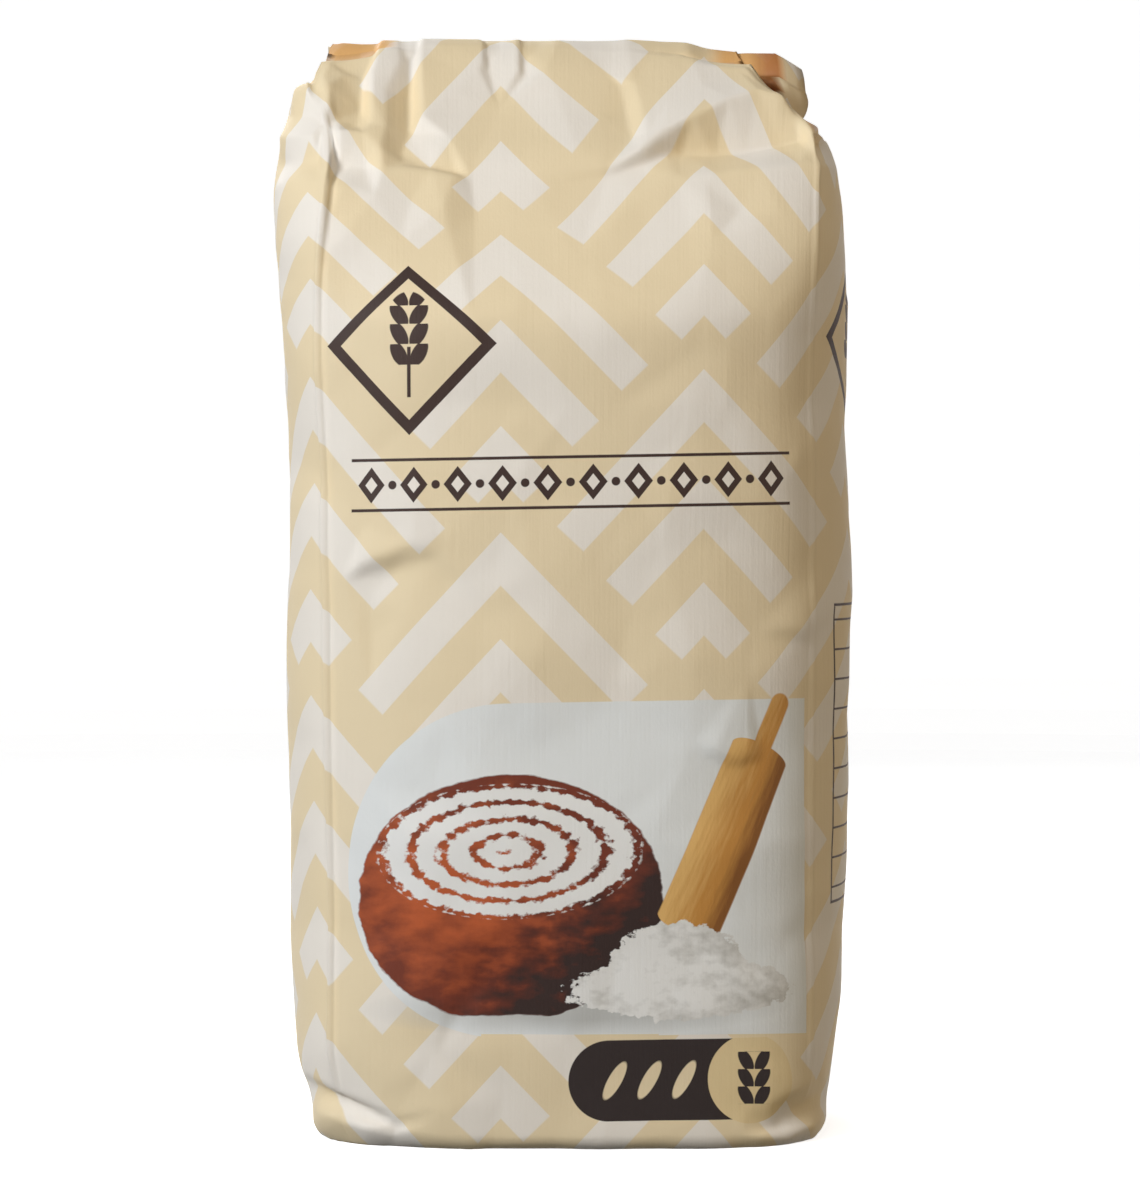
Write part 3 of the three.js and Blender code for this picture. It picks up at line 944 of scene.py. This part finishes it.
def paint_loaf(paint, u, v):
    """A dark round loaf with rings of flour on its top."""
    x, y = (u - LOAF_AT[0]) / LOAF_SIZE[0], (v - LOAF_AT[1]) / LOAF_SIZE[1]
    paint.over(inside(oval(u, v, (1.0, 27.0), (29.0, 4.2)), 0.8) * 0.8, PANEL_SHADE)
    crust = noise(u, v, (0.16, 0.3), 4.0)
    body = maths("MAXIMUM", (hypot(x, y) - 1.0) * 22.0, LOAF_FOOT - v)
    shape = inside(body + (crust - 0.5) * 1.5, 0.3)
    paint.over(shape, CRUST)
    glow = hypot((x + 0.4) / 0.8, (y - 0.1) / 0.7) + (crust - 0.5) * 2.2
    paint.over(maths("SUBTRACT", 1.2, glow, clamp=True) * shape, CRUST_LIGHT)
    shade = x * 0.8 - y * 0.75 + (crust - 0.5) * 1.2
    paint.over(maths("MULTIPLY_ADD", shade, 2.2, -0.65, clamp=True) * shape, CRUST_DARK)
    crumbs = noise(u, v, (0.6, 0.75), 4.0)
    out = hypot((u - DUST_AT[0]) / DUST_SIZE[0], (v - DUST_AT[1]) / DUST_SIZE[1])
    ring = magnitude(repeat(out, DUST_RING)) - 0.085 + (crumbs - 0.5) * 0.11
    dusted = maths("MAXIMUM", ring, out - 0.98) * 25.0 + (crumbs - 0.5) * 2.0
    paint.over(inside(dusted, 0.6) * shape, FLOUR)


PIN_AT = (28.0, 57.0)
PIN_ANGLE = 66
PIN_HALF_LENGTH = 27.0
HANDLE_RADIUS = 1.9
BARREL_HALF_LENGTH = 17.0
BARREL_RADIUS = 6.0


def paint_pin(paint, u, v):
    """A rolling pin that leans on the loaf."""
    along, across = turned(u, v, PIN_AT, PIN_ANGLE)
    reach = magnitude(along)
    handle = hypot(maths("MAXIMUM", reach - PIN_HALF_LENGTH, 0.0), across) - HANDLE_RADIUS
    barrel = hypot(maths("MAXIMUM", reach - BARREL_HALF_LENGTH, 0.0) * 3.0, across) - BARREL_RADIUS
    shape = inside(maths("MINIMUM", handle, barrel), 0.3)
    grain = noise(along, across, (0.12, 1.3), 3.0)
    paint.over(shape, WOOD)
    paint.over(maths("SUBTRACT", across * 0.16 + grain * 1.5, 0.55, clamp=True) * shape, WOOD_LIGHT)
    neck = maths("MAXIMUM", magnitude(reach - 19.4) - 0.5, barrel - handle)
    dark = maths("MAXIMUM", maths("MULTIPLY_ADD", across, -0.3, grain - 1.1), inside(neck) * 0.7)
    paint.over(maths("MINIMUM", dark, 0.85, clamp=True) * shape, WOOD_DARK)


def paint_heap(paint, u, v):
    """Loose flour in front of the loaf and the pin."""
    crumbs = noise(u, v, (0.55, 0.7), 4.0)
    heap = maths("MINIMUM", oval(u, v, (20.0, 30.0), (21.0, 5.4)), oval(u, v, (19.0, 33.0), (13.0, 9.0)))
    shape = inside(heap * 9.0 + (crumbs - 0.5) * 4.0, 0.3)
    paint.over(shape, FLOUR)
    hollows = noise(u, v, (0.13, 0.2), 3.0)
    shade = hollows * 1.9 + crumbs * 1.1 + (u - 19.0) * 0.014 + heap * 0.35
    paint.over(maths("SUBTRACT", shade, 1.25, clamp=True) * shape, FLOUR_SHADE)


PICTURE_V = 52.0
PICTURE_RADIUS = 30.6
PICTURE_LEFT = -12.1  # where its round left end starts
PICTURE_RIGHT = 44.8


def paint_picture(paint, u, v):
    """A pale ground with a round left end, and a still life on it."""
    ground = hypot(maths("MINIMUM", u - PICTURE_LEFT, 0.0), v - PICTURE_V) - PICTURE_RADIUS
    paint.over(inside(maths("MAXIMUM", ground, u - PICTURE_RIGHT)), PANEL)
    paint_loaf(paint, u, v)
    paint_pin(paint, u, v)
    paint_heap(paint, u, v)


TABLE_AT = (76.0, 72.0)
TABLE_HALF_WIDTH = 23.0
TABLE_HALF_HEIGHT = 27.5
TABLE_ROW = 5.5


def paint_table(paint, u, v):
    """An empty ruled table on the right side of the bag."""
    across = magnitude(u - TABLE_AT[0]) - TABLE_HALF_WIDTH
    outer = maths("MAXIMUM", across, magnitude(v - TABLE_AT[1]) - TABLE_HALF_HEIGHT)
    frame_line = magnitude(outer) - 0.25
    rules = maths("MAXIMUM", magnitude(repeat(v - TABLE_AT[1], TABLE_ROW)) - 0.2, outer)
    paint.over(inside(maths("MINIMUM", frame_line, rules)), BROWN)


def paint_front_emblem(paint, u, v):
    paint_emblem(paint, u, v, (-30.5, 148.5), 16.5)


def paint_side(paint, u, v):
    paint_table(paint, u, v)
    paint_emblem(paint, u, v, (66.0, 149.0), 14.5)


# Printed fields: their material, where they lie in the print (u from, u to, v from, v to), and
# what paints them.
FIELDS = [
    ("picture", (-44.0, 46.0, 21.41, 101.5), paint_picture),
    ("emblem", (-47.5, -13.5, 131.0, 166.0), paint_front_emblem),
    ("title", (-46.0, 46.0, 116.0, 130.0), paint_title),
    ("pill", (-3.0, 46.5, 3.0, 21.4), paint_pill),
    ("side", (50.0, 101.0, 40.0, 165.0), paint_side),
]
PRINT_TILT = -0.017  # the print runs a little askew on the paper
RELIEF = 0.00012  # depth of the paper's fibres and ribs, in metres


def attribute_field(name):
    node = Field.tree.nodes.new("ShaderNodeAttribute")
    node.attribute_name = name
    return Field(node.outputs["Fac"])


def paper_material(name, paint_field=None):
    material = bpy.data.materials.new("paper_" + name)
    material.use_nodes = True
    tree = material.node_tree
    Field.tree = tree
    uv = tree.nodes.new("ShaderNodeUVMap")
    uv.uv_map = "print"
    split = tree.nodes.new("ShaderNodeSeparateXYZ")
    tree.links.new(uv.outputs[0], split.inputs[0])
    u, height = Field(split.outputs[0]), Field(split.outputs[1])
    v = maths("MULTIPLY_ADD", u, PRINT_TILT, height)
    paint = Paint(BEIGE)
    paint.over(chevrons(u, v), WHITE)
    if paint_field:
        paint_field(paint, u, v)
    # Painted warm bounce light inside the pockets at the ends of the top.
    paint.over(attribute_field("pocket_bounce_light") * 0.85, POCKET_BOUNCE_LIGHT)
    # Painted shade towards the right end of the right pocket.
    paint.over(attribute_field("pocket_painted_shade") * 0.8, POCKET_PAINTED_SHADE)
    principled = tree.nodes["Principled BSDF"]
    tree.links.new(paint.colour, principled.inputs["Base Color"])
    principled.inputs["Specular IOR Level"].default_value = 0.2
    cloudy = noise(u, v, (0.2, 0.2), 3.0)
    ribs = noise(u, v, (1.5, 0.05), 1.0)
    tree.links.new(maths("MULTIPLY_ADD", cloudy, 0.12, 0.5).socket, principled.inputs["Roughness"])
    fibre = noise(u, v, (2.2, 1.1), 3.0)
    bump = tree.nodes.new("ShaderNodeBump")
    bump.inputs["Strength"].default_value = 0.25
    bump.inputs["Distance"].default_value = RELIEF
    tree.links.new((fibre + cloudy * 3.0 + ribs * 1.5).socket, bump.inputs["Height"])
    tree.links.new(bump.outputs[0], principled.inputs["Normal"])
    return material


def dress(bag, skin, corners):
    """Gives every face of the skin the material of the printed field that it lies in."""
    u = skin.print_u.ravel()[corners].mean(axis=1)
    v = skin.print_v.ravel()[corners].mean(axis=1)
    index = np.zeros(len(bag.data.polygons), int)
    bag.data.materials.append(paper_material("ground"))
    for number, (name, (u0, u1, v0, v1), painter) in enumerate(FIELDS, start=1):
        bag.data.materials.append(paper_material(name, painter))
        index[:len(corners)][(u > u0) & (u < u1) & (v > v0) & (v < v1)] = number
    bag.data.polygons.foreach_set("material_index", index)


def plain_material(name, colour, roughness, glow):
    material = bpy.data.materials.new(name)
    material.use_nodes = True
    principled = material.node_tree.nodes["Principled BSDF"]
    principled.inputs["Base Color"].default_value = colour
    principled.inputs["Roughness"].default_value = roughness
    principled.inputs["Emission Color"].default_value = (1, 1, 1, 1)
    principled.inputs["Emission Strength"].default_value = glow
    return material


STAGE_FLAT = 1400.0  # radius of the flat floor
STAGE_TURN = 300.0
STAGE_HEIGHT = 1800.0
STAGE_PARTS = 64
TURN_PARTS = 12


def build_stage():
    """A pale floor that turns up into a round backdrop."""
    angles = np.linspace(0, math.pi / 2, TURN_PARTS)
    profile = [(STAGE_FLAT + STAGE_TURN * math.sin(a), STAGE_TURN * (1 - math.cos(a))) for a in angles]
    profile.append((STAGE_FLAT + STAGE_TURN, STAGE_HEIGHT))
    vertices = [(0, 0, 0)]
    for radius, z in profile:
        for angle in np.linspace(0, 2 * math.pi, STAGE_PARTS, endpoint=False):
            vertices.append((radius * math.cos(angle) * MM, radius * math.sin(angle) * MM, z * MM))
    faces = [(0, 1 + i, 1 + (i + 1) % STAGE_PARTS) for i in range(STAGE_PARTS)]
    for level in range(len(profile) - 1):
        low, high = 1 + level * STAGE_PARTS, 1 + (level + 1) * STAGE_PARTS
        for i in range(STAGE_PARTS):
            after = (i + 1) % STAGE_PARTS
            faces.append((low + i, high + i, high + after, low + after))
    mesh = bpy.data.meshes.new("stage")
    mesh.from_pydata(vertices, [], faces)
    mesh.materials.append(plain_material("stage", (0.9, 0.9, 0.9, 1), roughness=0.9, glow=0.78))
    stage = bpy.data.objects.new("stage", mesh)
    bpy.context.scene.collection.objects.link(stage)
    stage.visible_diffuse = False


def area_light(name, at, aim_z, side, power, colour):
    """A square light that points at the middle of the bag, at the height aim_z."""
    light = bpy.data.lights.new(name, "AREA")
    light.shape = "RECTANGLE"
    light.size = light.size_y = side * MM
    light.energy = power
    light.color = colour
    lamp = bpy.data.objects.new(name, light)
    lamp.location = [c * MM for c in at]
    direction = np.array((0, 0, aim_z), float) - np.array(at, float)
    yaw = math.atan2(direction[1], direction[0]) - math.pi / 2
    pitch = math.atan2(direction[2], math.hypot(direction[0], direction[1])) + math.pi / 2
    lamp.rotation_euler = (pitch, 0, yaw)
    lamp.visible_camera = False
    bpy.context.scene.collection.objects.link(lamp)


def build_world():
    """Daylight of a room: brighter from above than from below, and a little warmer from below."""
    world = bpy.data.worlds.new("room")
    world.use_nodes = True
    tree = world.node_tree
    background = tree.nodes["Background"]
    background.inputs["Strength"].default_value = 1.0
    where = tree.nodes.new("ShaderNodeTexCoord")
    split = tree.nodes.new("ShaderNodeSeparateXYZ")
    ramp = tree.nodes.new("ShaderNodeValToRGB")
    height = tree.nodes.new("ShaderNodeMath")
    height.operation = "MULTIPLY_ADD"
    height.inputs[1].default_value = 0.5
    height.inputs[2].default_value = 0.5
    below, above = ramp.color_ramp.elements
    below.color = (0.03, 0.026, 0.02, 1)
    above.color = (0.09, 0.09, 0.09, 1)
    tree.links.new(where.outputs["Generated"], split.inputs[0])
    tree.links.new(split.outputs[2], height.inputs[0])
    tree.links.new(height.outputs[0], ramp.inputs[0])
    tree.links.new(ramp.outputs[0], background.inputs["Color"])
    bpy.context.scene.world = world


def build_lights():
    area_light("window", (-790, -730, 560), aim_z=110, side=360, power=11.0, colour=(1.0, 1.015, 1.04))
    area_light("ceiling", (-200, -600, 1000), aim_z=110, side=420, power=1.6, colour=(1.0, 1.0, 1.0))
    area_light("front_fill", (0, -1150, 260), aim_z=100, side=500, power=0.9, colour=(0.9, 0.96, 1.0))
    area_light("warm_bounce", (900, -500, 300), aim_z=110, side=420, power=2.3, colour=(1.0, 0.74, 0.4))
    area_light("back_fill", (-250, 760, 620), aim_z=110, side=500, power=3.2, colour=(1.0, 1.0, 1.0))
    build_world()
    bpy.context.scene.view_settings.view_transform = "Standard"


def build_camera():
    data = bpy.data.cameras.new("camera")
    data.lens = LENS
    data.sensor_width = SENSOR
    data.clip_start = 0.01
    camera = bpy.data.objects.new("camera", data)
    camera.location = (AXIS_X * MM, -EYE_DISTANCE * MM, EYE_HEIGHT * MM)
    camera.rotation_euler = (math.pi / 2, 0, 0)
    bpy.context.scene.collection.objects.link(camera)
    bpy.context.scene.camera = camera


bag, skin, corners = build_skin()
dress(bag, skin, corners)
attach(bag, "root")
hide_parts("flour_bag")
build_stage()
build_lights()
build_camera()
